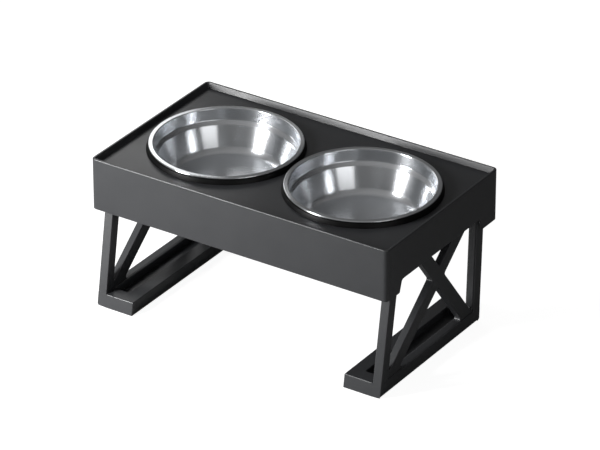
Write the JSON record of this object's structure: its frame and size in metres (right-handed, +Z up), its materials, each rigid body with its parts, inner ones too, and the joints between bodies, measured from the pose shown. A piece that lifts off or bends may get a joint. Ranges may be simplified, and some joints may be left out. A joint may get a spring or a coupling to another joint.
{
  "type": "raised dog feeder stand",
  "caption": "Low moulded plastic table with a spill lip, lift-out round steel bowls and plug-in legs with crossed braces and turned-in feet.",
  "frame": {"origin": "floor level, under the middle of the whole stand", "axes": "+X from the left bowl to the right bowl, +Y from the front to the back, +Z up"},
  "size_m": [0.42, 0.2496, 0.2002],
  "materials": {
    "tray_plastic": "fine moulded texture, charcoal",
    "leg_plastic": "fine moulded texture, charcoal",
    "bowl_steel": "spun and polished stainless steel",
    "ring_rubber": "black silicone",
    "pad_rubber": "black rubber"
  },
  "bodies": {
    "tray_body": {"tray": "tray_plastic", "bowl_ring_left": "ring_rubber", "bowl_ring_right": "ring_rubber"},
    "bowl_left_body": {"bowl_left": "bowl_steel"},
    "bowl_right_body": {"bowl_right": "bowl_steel"},
    "leg_left_body": {"leg_left": "leg_plastic", "pad_front_left": "pad_rubber", "pad_rear_left": "pad_rubber"},
    "leg_right_body": {"leg_right": "leg_plastic", "pad_front_right": "pad_rubber", "pad_rear_right": "pad_rubber"}
  },
  "joints": [
    {"name": "bowl_left_lift", "type": "slide", "parent": "tray_body", "child": "bowl_left_body", "axis": [0, 0, 1], "range_m": [0, 0.08]},
    {"name": "bowl_right_lift", "type": "slide", "parent": "tray_body", "child": "bowl_right_body", "axis": [0, 0, 1], "range_m": [0, 0.08]},
    {"name": "leg_left_pull", "type": "slide", "parent": "tray_body", "child": "leg_left_body", "axis": [0, 0, -1], "range_m": [0, 0.07]},
    {"name": "leg_right_pull", "type": "slide", "parent": "tray_body", "child": "leg_right_body", "axis": [0, 0, -1], "range_m": [0, 0.07]}
  ]
}
